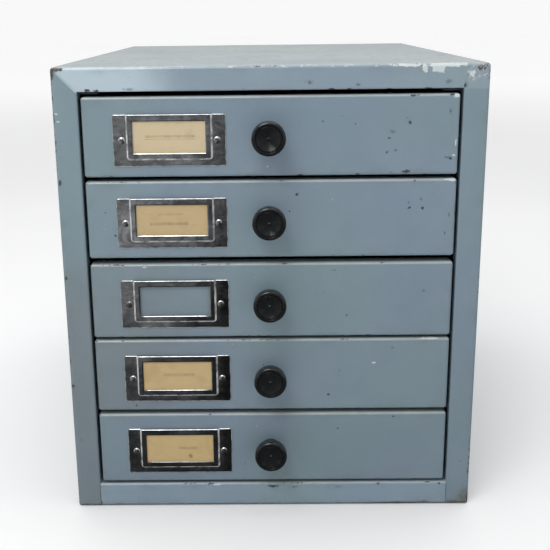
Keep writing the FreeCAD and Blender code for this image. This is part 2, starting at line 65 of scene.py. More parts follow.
class Graph:
    """A material's node tree, with short calls that add a node and join it up."""

    def __init__(self, name):
        self.material = bpy.data.materials.new(name)
        self.material.use_nodes = True
        self.tree = self.material.node_tree
        self.tree.nodes.clear()
        self.place = self.add("ShaderNodeTexCoord").outputs["Object"]

    def add(self, kind, inputs=None, **settings):
        node = self.tree.nodes.new(kind)
        for key, value in settings.items():
            setattr(node, key, value)
        for key, value in (inputs or {}).items():
            self.join(value, node.inputs[key])
        return node

    def join(self, value, socket):
        if isinstance(value, bpy.types.NodeSocket):
            self.tree.links.new(value, socket)
        elif value is not None:
            socket.default_value = value

    def math(self, operation, a, b=None, c=None):
        return self.add("ShaderNodeMath", {0: a, 1: b, 2: c}, operation=operation).outputs[0]

    def vector(self, operation, a, b=None, scale=None):
        node = self.add("ShaderNodeVectorMath", {0: a, 1: b, 3: scale}, operation=operation)
        return node.outputs[1 if operation in ("DOT_PRODUCT", "LENGTH", "DISTANCE") else 0]

    def parts(self, vector):
        return self.add("ShaderNodeSeparateXYZ", {0: vector}).outputs

    def point(self, x, y, z=0.0):
        return self.add("ShaderNodeCombineXYZ", {0: x, 1: y, 2: z}).outputs[0]

    def noise(self, scale, detail=3.0, roughness=0.5, distortion=0.0, place=None):
        inputs = {"Vector": place or self.place, "Scale": scale, "Detail": detail, "Roughness": roughness}
        inputs["Distortion"] = distortion
        return self.add("ShaderNodeTexNoise", inputs).outputs[0]

    def cells(self, scale, output):
        """Each place's Distance to the nearest of many scattered points, or that point's own random Color."""
        return self.add("ShaderNodeTexVoronoi", {"Vector": self.place, "Scale": scale}).outputs[output]

    def stretched(self, x, y, z, place=None):
        """Coordinates scaled along each axis, for streaks and grain."""
        return self.vector("MULTIPLY", place or self.place, (x, y, z))

    def band(self, value, low, high, out_low=0.0, out_high=1.0):
        """A smooth step between two values."""
        inputs = {"Value": value, 1: low, 2: high, 3: out_low, 4: out_high}
        return self.add("ShaderNodeMapRange", inputs, interpolation_type="SMOOTHSTEP").outputs[0]

    def mix(self, share, a, b, blend="MIX"):
        node = self.add("ShaderNodeMix", data_type="RGBA", blend_type=blend)
        self.join(share, node.inputs[0])
        for value, socket in ((a, node.inputs[6]), (b, node.inputs[7])):
            if not isinstance(value, bpy.types.NodeSocket):
                value = (*value[:3], 1.0)
            self.join(value, socket)
        return node.outputs[2]

    def bump(self, height, distance, strength=1.0, normal=None):
        inputs = {"Height": height, "Distance": distance, "Strength": strength, "Normal": normal}
        return self.add("ShaderNodeBump", inputs).outputs[0]

    def finish(self, colour, roughness, normal=None, **more):
        """Finish the material as a solid surface."""
        names = {"metallic": "Metallic", "specular": "Specular IOR Level", "coat": "Coat Weight"}
        names.update({"coat_roughness": "Coat Roughness", "emission": "Emission Strength"})
        inputs = {names[key]: value for key, value in more.items()}
        if not isinstance(colour, bpy.types.NodeSocket):
            colour = (*colour[:3], 1.0)
        inputs.update({"Base Color": colour, "Roughness": roughness, "Normal": normal})
        shader = self.add("ShaderNodeBsdfPrincipled", inputs)
        self.add("ShaderNodeOutputMaterial", {"Surface": shader.outputs[0]})
        return self.material

    def glow(self, colour, strength):
        """Finish the material as plain light."""
        light = self.add("ShaderNodeEmission", {"Color": (*colour, 1.0), "Strength": strength})
        self.add("ShaderNodeOutputMaterial", {"Surface": light.outputs[0]})
        return self.material

    def chain(self, operation, values):
        """One operation over any number of values."""
        result = values[0]
        for value in values[1:]:
            result = self.math(operation, result, value)
        return result

    def edge_distance(self, low, high):
        """Distance in metres along a box's surface to the nearest of its edges."""
        from_low = self.vector("SUBTRACT", self.place, low)
        from_high = self.vector("SUBTRACT", high, self.place)
        x, y, z = self.parts(self.vector("MINIMUM", from_low, from_high))
        less, more = self.math("MINIMUM", x, y), self.math("MAXIMUM", x, y)
        return self.math("MAXIMUM", less, self.math("MINIMUM", more, z))


# ---- enamel ---------------------------------------------------------------------------------------

# the paint itself, what lies under it, and what lies on it
ENAMEL = (0.186, 0.250, 0.312)
ENAMEL_GREEN = (0.184, 0.256, 0.290)
ENAMEL_PALE = (0.240, 0.305, 0.352)
# a painted sheen: pale paint that stands for a reflection on the top rail's left end
RAIL_PAINTED_SHEEN = (0.440, 0.540, 0.600)
PRIMER = (0.040, 0.050, 0.060)
RUST = (0.078, 0.052, 0.036)
DUST = (0.335, 0.362, 0.345)
# dust, and a painted highlight, for bends that face up
BEND_DUST_AND_HIGHLIGHT = (0.420, 0.450, 0.430)
RUSTY_GRIT = (0.235, 0.190, 0.155)
GRIME = (0.130, 0.128, 0.115)

# its marks
CHIP_RIM = (0.360, 0.390, 0.400)
# a dent's painted shade
DENT_PAINTED_SHADE = (0.060, 0.078, 0.092)
BARE_STEEL = (0.560, 0.610, 0.610)
NICKED_STEEL = (0.500, 0.530, 0.520)
SCRAPED_PAINT = (0.560, 0.520, 0.530)
SIDE_SCRATCH = (0.430, 0.460, 0.480)
STAIN_EDGE = (0.170, 0.172, 0.140)
STAIN_CORE = (0.078, 0.072, 0.058)

# what dulling leaves of the paint's red, green and blue, and where it fades out across and up the cabinet
DULLED = (0.94, 0.86, 0.85)
DULL_ACROSS = (-100 * MM, -20 * MM)
DULL_UP = (160 * MM, 215 * MM)

# a painted sheen on the top rail's left end, a reflection painted pale: where it thins out along the rail,
# the rail's lower edge, and how far the mitre is off the corner's diagonal
SHEEN_ALONG = (62 * MM, 110 * MM)
SHEEN_DOWN = (17.2 * MM, 16.6 * MM)
MITRE_OFFSET = 0.8 * MM

# spot welds: their places along a runner as shares of its length, how far they are below its top, and how
# far each dish reaches
WELD_SHARES = (0.10, 0.37, 0.63, 0.90)
WELD_DROP = 4.5 * MM
WELD_REACH = (1.2 * MM, 4.4 * MM)

# Each kind of mark, which noise tears its rim, and how softly it fades there.
MARK_KINDS = [
    ("chip", "fine", 0.25),
    ("dent", "fine", 0.90),
    ("bare", "coarse", 0.12),
    ("nicks", "coarse", 0.30),
    ("scrape", "coarse", 0.80),
    ("stain", "slow", 0.95),
]

# how far the lower left of a front has dulled, for the drawers where it has
DULL_FRONTS = {3: 0.7, 4: 1.0}


def nearest_mark(g, marks, kind):
    """How far off the nearest mark of a kind is, counted in that mark's own half sizes."""
    nearest = None
    for centre, half, mark_kind in marks:
        if mark_kind == kind:
            away = g.vector("LENGTH", g.vector("DIVIDE", g.vector("SUBTRACT", g.place, centre), half))
            nearest = away if nearest is None else g.math("MINIMUM", nearest, away)
    return nearest


def rubbed_sides(g, colour, facing):
    """Faint rubs and long thin scratches, nearly level, on the faces that look sideways or back."""
    open_face = g.math("MAXIMUM", g.math("ABSOLUTE", facing[0]), facing[1])
    open_face = g.band(open_face, 0.80, 0.95)
    x, y, z = g.parts(g.place)
    along = g.math("ADD", x, y)
    up = g.math("MULTIPLY_ADD", along, 0.10, z)
    level = g.point(g.math("MULTIPLY", along, 0.022), up)
    steep = g.math("MULTIPLY_ADD", along, -0.55, z)
    slanting = g.point(g.math("MULTIPLY", along, 0.09), steep, 0.4)
    where = g.band(g.noise(6.0, 4.0, 0.6), 0.50, 0.68)
    rub = g.band(g.noise(13.0, 6.0, 0.66, 0.5, g.stretched(0.5, 0.5, 1.3)), 0.47, 0.70)
    colour = g.mix(g.chain("MULTIPLY", (open_face, rub, 0.30)), colour, ENAMEL_PALE)
    smear = g.band(g.noise(19.0, 5.0, 0.62, 0.3, g.stretched(1.0, 1.0, 0.45)), 0.52, 0.72)
    colour = g.mix(g.chain("MULTIPLY", (open_face, smear, 0.26)), colour, GRIME)
    pale = g.band(g.noise(420.0, 3.0, 0.5, 0.3, level), 0.645, 0.700)
    colour = g.mix(g.chain("MULTIPLY", (open_face, where, pale, 0.32)), colour, SIDE_SCRATCH)
    dark = g.band(g.noise(390.0, 3.0, 0.5, 0.6, slanting), 0.660, 0.710)
    return g.mix(g.chain("MULTIPLY", (open_face, where, dark, 0.34)), colour, PRIMER)


def weld_dishes(g, facing):
    """Shallow dishes in both sides, in a row along the top flange of each runner."""
    _, y, z = g.parts(g.place)
    runners = [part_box(f"runner_left_{k}") for k in DRAWERS]
    start, end = runners[0][0].y, runners[0][1].y
    rows = [g.math("ABSOLUTE", g.math("SUBTRACT", z, high.z - WELD_DROP)) for low, high in runners]
    places = [start + share * (end - start) for share in WELD_SHARES]
    columns = [g.math("ABSOLUTE", g.math("SUBTRACT", y, place)) for place in places]
    across, up = g.chain("MINIMUM", columns), g.chain("MINIMUM", rows)
    away = g.math("SQRT", g.math("MULTIPLY_ADD", across, across, g.math("MULTIPLY", up, up)))
    on_side = g.band(g.math("ABSOLUTE", facing[0]), 0.6, 0.9)
    return g.math("MULTIPLY", on_side, g.band(away, *WELD_REACH, 1.0, 0.0))


def paint_rail_sheen(g, colour, facing, low, high):
    """A painted sheen: the top rail's left third painted pale as a reflection, as far as the mitre in the
    corner.
    """
    x, _, z = g.parts(g.place)
    spread = g.math("MULTIPLY_ADD", g.noise(22.0, 3.0), 0.030, x)
    sheen_share = g.band(spread, *(low.x + reach for reach in SHEEN_ALONG), 0.84, 0.14)
    in_rail = g.band(z, *(high.z - drop for drop in SHEEN_DOWN))
    mitre = g.math("SUBTRACT", g.math("ADD", x, z), low.x + high.z - MITRE_OFFSET)
    past_mitre = g.band(mitre, 0.0, 0.5 * MM)
    front = g.band(facing[1], -0.25, -0.6)
    return g.mix(g.chain("MULTIPLY", (sheen_share, in_rail, past_mitre, front)), colour, RAIL_PAINTED_SHEEN)


def scraped(g, colour, share):
    """Fine slanting scratches, pinkish white with dark ones among them."""
    x, _, z = g.parts(g.place)
    slant = g.point(g.math("MULTIPLY", g.math("ADD", x, z), 0.22), g.math("SUBTRACT", x, z))
    pale = g.band(g.noise(560.0, 4.0, 0.7, 0.5, slant), 0.52, 0.60)
    dark = g.band(g.noise(430.0, 4.0, 0.7, 0.8, slant), 0.58, 0.64)
    colour = g.mix(g.chain("MULTIPLY", (share, pale, 0.80)), colour, SCRAPED_PAINT)
    return g.mix(g.chain("MULTIPLY", (share, dark, 0.75)), colour, PRIMER)


def mark_fields(g, marks):
    """How strong each kind of mark is at a place, torn at its rims by noise, for the kinds that there are."""
    tears = {
        "fine": g.math("MULTIPLY_ADD", g.noise(640.0, 5.0, 0.75), 3.6, -1.8),
        "coarse": g.math("MULTIPLY_ADD", g.noise(230.0, 5.0, 0.7), 3.2, -1.6),
        "slow": g.math("MULTIPLY_ADD", g.noise(150.0, 5.0, 0.65), 1.6, -0.8),
    }
    fields = {}
    for kind, tear, soft in MARK_KINDS:
        away = nearest_mark(g, marks, kind)
        if away is not None:
            fields[kind] = g.band(g.math("ADD", away, tears[tear]), 1.0 - soft, 1.0, 1.0, 0.0)
    return fields


def enamel(
    name,
    low,
    high,
    wear,
    marks=(),
    tone=1.0,
    rust=0.75,
    dusty_top=0.0,
    dust_and_highlight_bends=0.0,
    dulled=0.0,
    painted_rail_sheen=False,
    rubbed=False,
    welded=False,
):
    """Old semi-gloss blue-grey enamel over a box-shaped piece: mottled, grimy, and chipped along its edges.

    low and high are the box's corners. wear is how far chips spread from its edges. A mark is (centre, half
    sizes, kind), and MARK_KINDS has the kinds. tone makes all the paint lighter or darker. Four values are
    shares from nothing to one: rust, how much of a chip has rusted; dusty_top, the dust on level faces;
    dust_and_highlight_bends, the dust and the painted highlight on bends that face up; and dulled, how far
    the lower left has dulled. painted_rail_sheen is for the painted sheen on the case's top rail, rubbed for
    faces that look sideways or back, and welded for the case's sides.
    """
    g = Graph(name)
    edge = g.edge_distance(tuple(low), tuple(high))

    # the paint's own colour drifts slowly, with faint blotches and a fine speckle
    drift = g.band(g.noise(9.0, 2.0), 0.36, 0.64)
    blotch = g.band(g.noise(34.0, 4.0, 0.6), 0.38, 0.66)
    speckle = g.noise(900.0, 2.0)
    colour = g.mix(drift, ENAMEL, ENAMEL_GREEN)
    colour = g.mix(g.math("MULTIPLY", blotch, 0.20), colour, ENAMEL_PALE)
    colour = g.mix(g.math("MULTIPLY", g.band(speckle, 0.55, 0.75), 0.08), colour, PRIMER)

    # painted shade: it is a little darker towards the floor, where less light reaches, and each piece was
    # sprayed on its own
    x, _, z = g.parts(g.place)
    lower = g.band(z, 0.0, 0.30, 0.89 * tone, tone)
    colour = g.vector("SCALE", colour, None, lower)
    if dulled:
        # the lower left is made a little darker and less blue
        left, lower_part = g.band(x, *DULL_ACROSS, dulled, 0.0), g.band(z, *DULL_UP, 1.0, 0.0)
        colour = g.mix(g.math("MULTIPLY", left, lower_part), colour, DULLED, "MULTIPLY")

    facing = g.parts(g.add("ShaderNodeNewGeometry").outputs["Normal"])
    if rubbed:
        colour = rubbed_sides(g, colour, facing)
    if welded:
        dishes = weld_dishes(g, facing)
        # grime and painted shade: each weld dish is darkened
        colour = g.mix(g.math("MULTIPLY", dishes, 0.22), colour, GRIME)
    # painted sheen: a pale reflection painted on the top rail's left end
    if painted_rail_sheen:
        colour = paint_rail_sheen(g, colour, facing, low, high)

    # handling dirt gathers in a soft band by the edges
    dirt_noise = g.band(g.noise(60.0, 5.0, 0.65), 0.42, 0.72)
    near_edge = g.band(edge, 0.0, 9 * MM, 1.0, 0.12)
    dirt = g.math("MULTIPLY", g.math("MULTIPLY", dirt_noise, near_edge), 0.26)
    colour = g.mix(dirt, colour, GRIME)

    if dust_and_highlight_bends:
        # pale dust and rubbed paint, with a painted highlight, on every bend that faces up
        film = g.band(g.noise(80.0, 4.0, 0.6), 0.25, 0.70, 0.55, 1.0)
        share = g.chain("MULTIPLY", (g.band(facing[2], 0.06, 0.50), film, dust_and_highlight_bends))
        colour = g.mix(share, colour, BEND_DUST_AND_HIGHLIGHT)

    # chips: ragged islands that cluster, thick along the edges and rare on the open faces
    ragged = g.noise(430.0, 6.0, 0.62, 0.6)
    cluster = g.band(g.noise(34.0, 3.0, 0.55), 0.46, 0.66)
    reach = g.band(edge, 0.0, (0.8 + 3.0 * wear) * MM, 1.0, 0.0)
    drive = g.math("MULTIPLY_ADD", g.math("MULTIPLY", cluster, reach), 0.30, ragged)
    chips = g.band(drive, 0.735, 0.755)
    rim = g.band(drive, 0.690, 0.735)

    # isolated pin-head specks
    seeds = g.cells(46.0, "Distance")
    luck = g.parts(g.cells(46.0, "Color"))[0]
    size = g.math("MULTIPLY_ADD", g.noise(700.0, 3.0), 0.050, -0.004)
    specks = g.math("MULTIPLY", g.math("LESS_THAN", seeds, size), g.math("GREATER_THAN", luck, 0.84))
    chips = g.math("MAXIMUM", chips, specks)

    # placed marks, from the softest to the sharpest
    fields = mark_fields(g, marks)
    if "stain" in fields:
        olive = g.mix(fields["stain"], STAIN_EDGE, STAIN_CORE)
        colour = g.mix(g.math("MULTIPLY", fields["stain"], 0.92), colour, olive)
    # a dent is only a painted shade: a dark spot, with no hollow in the sheet
    if "dent" in fields:
        colour = g.mix(g.math("MULTIPLY", fields["dent"], 0.68), colour, DENT_PAINTED_SHADE)
    colour = g.mix(g.math("MULTIPLY", rim, 0.45), colour, CHIP_RIM)
    rusted = g.math("MULTIPLY", g.band(g.noise(240.0, 4.0, 0.6), 0.34, 0.60), rust)
    chips = g.math("MAXIMUM", chips, fields["chip"]) if "chip" in fields else chips
    colour = g.mix(chips, colour, g.mix(rusted, PRIMER, RUST))
    if "bare" in fields:
        colour = g.mix(g.math("MULTIPLY", fields["bare"], 0.90), colour, BARE_STEEL)
    if "nicks" in fields:
        sparse = g.band(g.noise(150.0, 4.0, 0.7, 0.3), 0.52, 0.60)
        colour = g.mix(g.chain("MULTIPLY", (fields["nicks"], sparse, 0.85)), colour, NICKED_STEEL)
    if "scrape" in fields:
        colour = scraped(g, colour, fields["scrape"])

    roughness = g.math("MULTIPLY_ADD", g.noise(26.0, 4.0, 0.6), 0.16, 0.24)
    roughness = g.math("MULTIPLY_ADD", chips, 0.45, roughness)

    if dusty_top:
        # the top has lost its gloss under dust and fine rust
        top = g.band(facing[2], 0.55, 0.95)
        film = g.band(g.noise(16.0, 5.0, 0.62, 0.3), 0.34, 0.62)
        settled = g.chain("MULTIPLY", (top, g.math("MULTIPLY_ADD", film, 0.38, 0.42), dusty_top))
        grit = g.mix(g.band(g.noise(150.0, 5.0, 0.7), 0.48, 0.72), DUST, RUSTY_GRIT)
        colour = g.mix(settled, colour, grit)
        roughness = g.math("MULTIPLY_ADD", settled, 0.42, roughness)

    # slow waves of hand-finished sheet, faint orange peel, and the depth of the chips and the welds
    normal = g.bump(g.noise(6.0, 1.0), 3.0 * MM, 0.35)
    normal = g.bump(g.noise(520.0, 2.0), 0.05 * MM, 0.35, normal)
    normal = g.bump(g.math("SUBTRACT", 1.0, chips), 0.12 * MM, 0.8, normal)
    if welded:
        normal = g.bump(dishes, -0.55 * MM, 1.0, normal)
    return g.finish(colour, roughness, normal, specular=0.55, coat=0.15, coat_roughness=0.16)


# ---- other finishes -------------------------------------------------------------------------------

# plated steel: clean, tarnished, smeared, in its pits, and rubbed white on its creases, which is also a
# painted highlight
PLATING = (0.700, 0.710, 0.715)
TARNISH = (0.330, 0.315, 0.290)
SMEAR = (0.240, 0.240, 0.245)
PIT = (0.080, 0.060, 0.045)
RUBBED_PLATING_AND_HIGHLIGHT = (0.780, 0.790, 0.790)


def chrome(name, tarnish, seed, wavy):
    """Plated steel, smeared, pitted, lightly scratched, and rubbed dull on the creases, painted pale there as
    a highlight.

    The mesh's "crease" values say where it is rubbed and painted with a highlight. tarnish and wavy are
    shares. seed moves the pattern.
    """
    g = Graph(name)
    place = g.vector("ADD", g.place, (seed, 0.0, seed))
    film = g.band(g.noise(110.0, 5.0, 0.62, 0.4, place), 0.42, 0.72)
    pits = g.band(g.noise(1500.0, 3.0, 0.6, 0.0, place), 0.66, 0.74)
    scratch = g.band(g.noise(300.0, 2.0, 0.4, 0.0, g.stretched(0.12, 1.0, 5.0, place)), 0.60, 0.66)
    crease = g.add("ShaderNodeAttribute", attribute_name="crease").outputs["Fac"]
    crease = g.math("MULTIPLY", crease, g.band(g.noise(190.0, 3.0, 0.5, 0.0, place), 0.34, 0.60, 0.40, 1.0))
    smear = g.band(g.noise(60.0, 5.0, 0.62, 1.4, g.stretched(1.0, 1.0, 1.7, place)), 0.42, 0.62)
    colour = g.mix(g.math("MULTIPLY", film, tarnish), PLATING, TARNISH)
    colour = g.mix(g.math("MULTIPLY", smear, 0.62), colour, SMEAR)
    colour = g.mix(g.math("MULTIPLY", pits, 0.5), colour, PIT)
    # rubbed plating and a painted highlight: pale and matte along the creases and the rim
    colour = g.mix(g.math("MULTIPLY", crease, 0.95), colour, RUBBED_PLATING_AND_HIGHLIGHT)
    roughness = g.math("MULTIPLY_ADD", film, 0.12, 0.085)
    roughness = g.math("MULTIPLY_ADD", scratch, 0.06, roughness)
    roughness = g.math("MULTIPLY_ADD", pits, 0.35, roughness)
    roughness = g.math("MULTIPLY_ADD", crease, 0.30, roughness)
    metallic = g.math("MULTIPLY_ADD", crease, -0.80, 1.0)
    normal = g.bump(g.noise(70.0, 2.0, 0.5, 0.0, place), 0.5 * MM, wavy)
    normal = g.bump(pits, -0.04 * MM, 0.6, normal)
    return g.finish(colour, roughness, normal, metallic=metallic)


PHENOLIC = (0.0095, 0.0105, 0.0110)
GROOVE_DUST = (0.070, 0.070, 0.066)


def moulding():
    """Black phenolic, polished but hazed, with grey dust in its grooves."""
    g = Graph("knob_moulding")
    haze = g.band(g.noise(90.0, 4.0, 0.6), 0.35, 0.70)
    dust = g.band(g.noise(650.0, 4.0, 0.65), 0.56, 0.74)
    colour = g.mix(g.math("MULTIPLY", dust, 0.14), PHENOLIC, GROOVE_DUST)
    roughness = g.math("MULTIPLY_ADD", haze, 0.10, 0.13)
    normal = g.bump(g.noise(1100.0, 2.0), 0.02 * MM, 0.25)
    return g.finish(colour, roughness, normal, specular=0.42)


# the cards' colours, by drawer, and the colours of what has aged them
CARD_TONES = {
    1: (0.510, 0.420, 0.268),
    2: (0.430, 0.318, 0.162),
    4: (0.445, 0.318, 0.150),
    5: (0.437, 0.312, 0.138),
}
PALE_FIBRE = (0.640, 0.560, 0.400)
FOXING = (0.300, 0.195, 0.090)
CARD_EDGE_DARK = (0.260, 0.180, 0.090)
FADED_INK = (0.100, 0.075, 0.050)

# Each worn strip on a card: centre across and up from the card's foot, half width and half height in
# millimetres, and how dark it is.
CARD_ROWS = {
    1: [(0.5, 15.3, 17.0, 0.85, 0.34), (0.5, 13.4, 17.4, 0.15, 0.60)],
    2: [(-1.0, 19.0, 9.0, 0.8, 0.20), (-2.0, 12.2, 13.5, 0.95, 0.42)],
    4: [(1.0, 15.5, 11.5, 1.2, 0.30)],
    5: [(6.0, 14.8, 7.0, 1.0, 0.36)],
}

# the rusty spot on one of the cards: across from its centre and up from its foot, where it starts to fade,
# and where it ends
SPOTTED_CARD = 5
SPOT_PLACE = (7.5 * MM, 8.5 * MM)
SPOT_REACH = (1.6 * MM, 3.4 * MM)
SPOT_COLOUR = (0.190, 0.085, 0.030)


def card_stock(number, low, high):
    """Aged index card: fibres, foxing, darker edges, and worn strips where its writing has faded away."""
    g = Graph(f"card_stock_{number}")
    edge = g.edge_distance((low.x, -1.0, low.z), (high.x, 1.0, high.z))
    fibre = g.noise(420.0, 5.0, 0.65, 0.5, g.stretched(0.35, 1.0, 1.6))
    foxing = g.band(g.noise(75.0, 5.0, 0.62, 0.4), 0.50, 0.78)
    colour = g.mix(g.math("MULTIPLY", fibre, 0.22), CARD_TONES[number], PALE_FIBRE)
    colour = g.mix(g.math("MULTIPLY", foxing, 0.30), colour, FOXING)
    # darker within 7 mm of each edge
    colour = g.mix(g.band(edge, 0.0, 7 * MM, 0.28, 0.0), colour, CARD_EDGE_DARK)
    x, _, z = g.parts(g.place)
    centre_x, centre_y = (low.x + high.x) / 2, (low.y + high.y) / 2
    strips = []
    for strip_x, strip_z, half_wide, half_high, weight in CARD_ROWS[number]:
        across = g.math("ABSOLUTE", g.math("SUBTRACT", x, centre_x + strip_x * MM))
        up = g.math("ABSOLUTE", g.math("SUBTRACT", z, low.z + strip_z * MM))
        soft = 0.25 * half_high * MM
        ends = g.band(across, (half_wide - 0.6) * MM, half_wide * MM, 1.0, 0.0)
        rims = g.band(up, half_high * MM - soft, half_high * MM + soft, 1.0, 0.0)
        faded = g.band(g.noise(330.0, 3.0, 0.6), 0.25, 0.75, 0.45, 1.0)
        strips.append(g.chain("MULTIPLY", (ends, rims, faded, weight)))
    colour = g.mix(g.chain("MAXIMUM", strips), colour, FADED_INK)
    if number == SPOTTED_CARD:
        spot_centre = (centre_x + SPOT_PLACE[0], centre_y, low.z + SPOT_PLACE[1])
        away = g.vector("LENGTH", g.vector("SUBTRACT", g.place, spot_centre))
        ragged = g.math("MULTIPLY_ADD", g.noise(380.0, 4.0), 2.2 * MM, away)
        colour = g.mix(g.band(ragged, *SPOT_REACH, 0.75, 0.0), colour, SPOT_COLOUR)
    normal = g.bump(fibre, 0.03 * MM, 0.6)
    return g.finish(colour, 0.72, normal, specular=0.3)


def turned_metal(name, colour, dark, roughness):
    """Machined or plated small hardware with turning marks and dull oxide."""
    g = Graph(name)
    oxide = g.band(g.noise(420.0, 4.0, 0.6), 0.45, 0.72)
    rings = g.noise(800.0, 2.0, 0.5, 0.0, g.stretched(0.2, 4.0, 0.2))
    shade = g.mix(g.math("MULTIPLY", oxide, 0.55), colour, dark)
    rough = g.math("MULTIPLY_ADD", oxide, 0.20, roughness)
    return g.finish(shade, rough, g.bump(rings, 0.03 * MM, 0.5), metallic=1.0)


# ---- mesh helpers ---------------------------------------------------------------------------------

ON_AXIS = 1e-7


def arc(centre, radius, start, end, steps):
    """Points on an arc in a plane, with its angles in degrees."""
    angles = [math.radians(start + (end - start) * i / steps) for i in range(steps + 1)]
    return [(centre[0] + radius * math.cos(a), centre[1] + radius * math.sin(a)) for a in angles]


def bezier(a, b, c, d, steps):
    """Points on a curve from a to d that b and c pull on."""
    points = []
    for i in range(steps + 1):
        t = i / steps
        weights = ((1 - t) ** 3, 3 * t * (1 - t) ** 2, 3 * t * t * (1 - t), t**3)
        pulls = list(zip(weights, (a, b, c, d)))
        points.append(tuple(sum(weight * point[axis] for weight, point in pulls) for axis in (0, 1)))
    return points


def mesh_object(name, bm, material):
    mesh = bpy.data.meshes.new(name)
    bm.to_mesh(mesh)
    bm.free()
    mesh.materials.append(material)
    piece = bpy.data.objects.new(name, mesh)
    bpy.context.scene.collection.objects.link(piece)
    return piece


def new_piece(name, bm, material, node):
    """A mesh object that stands for a CAD node and rides on that node's body."""
    piece = mesh_object(name, bm, material)
    piece.data.shade_smooth()
    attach(piece, BODY_OF[node])
    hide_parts(node)
    return piece


def sheet_faces(bm, grid, columns, rows, left_out=()):
    """Put a face in each cell of a grid of vertices, keyed by column and row, but not in those left out."""
    for i in range(columns):
        for j in range(rows):
            if (i, j) not in left_out:
                bm.faces.new((grid[i, j], grid[i + 1, j], grid[i + 1, j + 1], grid[i, j + 1]))


def lathe(profile, centre, segments):
    """Spin (radius, height) points about a line along -Y. Radii of nothing close to a single point."""
    turns = [(math.cos(a), math.sin(a)) for a in (2 * math.pi * i / segments for i in range(segments))]
    bm = bmesh.new()
    rings = []
    for radius, height in profile:
        y = centre.y - height
        around = turns if radius > ON_AXIS else [(0.0, 0.0)]
        rings.append([bm.verts.new((centre.x + radius * c, y, centre.z + radius * s)) for c, s in around])
    for lower, upper in zip(rings, rings[1:]):
        for i in range(segments):
            after = (i + 1) % segments
            if len(upper) == 1:
                bm.faces.new((lower[i], lower[after], upper[0]))
            elif len(lower) == 1:
                bm.faces.new((lower[0], upper[after], upper[i]))
            else:
                bm.faces.new((lower[i], lower[after], upper[after], upper[i]))
    bmesh.ops.recalc_face_normals(bm, faces=bm.faces)
    return bm


def thicken(piece, thickness, offset):
    """Give a sheet its thickness: offset -1 puts it behind the drawn face, and 0 half on each side."""
    sheet = piece.modifiers.new("sheet", "SOLIDIFY")
    sheet.thickness = thickness
    sheet.offset = offset


def soften_edges(piece, width, angle):
    """Round the edges that turn by more than an angle in degrees."""
    bevel = piece.modifiers.new("soft_edges", "BEVEL")
    bevel.width = width
    bevel.segments = 2
    bevel.limit_method = "ANGLE"
    bevel.angle_limit = math.radians(angle)
    bevel.harden_normals = True


# ---- detailed pieces ------------------------------------------------------------------------------

# the card holders' sheet, and how far their middle panel stands off their wings
HOLDER_SHEET = 0.6 * MM
HOLDER_RAISE = 1.4 * MM

# the knob's outline is drawn in millimetres for this radius, and scaled to the node's
KNOB_DRAWN_RADIUS = 11.5
KNOB_SEGMENTS = 112
DISH_STEPS = 84


def knob_profile(radius, reach):
    """The knob's outline from its back edge to the pip in the middle of its dish."""
    u = radius / KNOB_DRAWN_RADIUS
    rim = radius - 2.1 * u
    points = [(3.6 * u, 0.0), (6.7 * u, 0.0)]
    points += arc((6.7 * u, 0.3 * u), 0.3 * u, -90, 0, 3)
    points += arc((6.6 * u, 1.0 * u), 0.4 * u, 0, 80, 4)
    points += bezier((6.3 * u, 1.45 * u), (4.7 * u, 2.4 * u), (4.9 * u, 8.9 * u), (9.9 * u, 9.9 * u), 18)[1:]
    points += arc((radius - 1.5 * u, 11.5 * u), 1.5 * u, -80, 0, 8)
    # a fine turned bead at the back of the rim
    points += [(radius, 12.1 * u), (radius - 0.12 * u, 12.25 * u), (radius, 12.4 * u)]
    points += arc((rim, reach - 2.1 * u), 2.1 * u, 0, 96, 16)
    points += arc((8.75 * u, reach - 0.55 * u), 0.38 * u, 20, -200, 10)
    points += arc((8.15 * u, reach - 0.50 * u), 0.25 * u, 40, 150, 5)
    # the dish, with fine turning rings, and the pip in its middle
    edge, deep, pip = 7.7 * u, 1.505 * u, 1.15 * u
    ring_high, ring_pitch = 0.030 * u, 0.62 * u
    for i in range(DISH_STEPS + 1):
        r = edge + (pip - edge) * i / DISH_STEPS
        bowl = reach - 0.30 * u - deep * (1 - (r / edge) ** 2)
        points.append((r, bowl + ring_high * math.cos(2 * math.pi * r / ring_pitch)))
    top = points[-1][1]
    points += [(pip - 0.05 * u, top + 0.10 * u)]
    points += arc((0.0, top - 0.55 * u), 1.2 * u, 40, 90, 6)
    points[-1] = (0.0, points[-1][1])
    return points


def make_knob(k, material):
    low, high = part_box(f"knob_{k}")
    centre = Vector(((low.x + high.x) / 2, high.y, (low.z + high.z) / 2))
    profile = knob_profile((high.x - low.x) / 2, high.y - low.y)
    new_piece(f"turned_knob_{k}", lathe(profile, centre, KNOB_SEGMENTS), material, f"knob_{k}")


RIVET_SEGMENTS = 40
# the holder and side of the one rivet that has lost its plating
DULL_RIVET = (3, "left")


def rivet_profile(head, back):
    """A rivet's outline, from its clenched tail through the wing to the dome, for a head of some radius."""
    tail, shank, base, dome = 0.8 * head, 0.62 * head, 0.22 * MM, 1.05 * MM
    points = [(0.0, back), (tail, back), (head, back + 0.2 * MM), (head, back + 0.6 * MM)]
    points += [(shank, back + 0.8 * MM), (shank, 0.0)]
    points += [(0.97 * head, 0.0), (head, 0.08 * MM), (0.985 * head, base)]
    angles = [math.radians(10 + 8 * i) for i in range(10)]
    return points + [(head * math.cos(a), base + dome * math.sin(a)) for a in angles] + [(0.0, base + dome)]


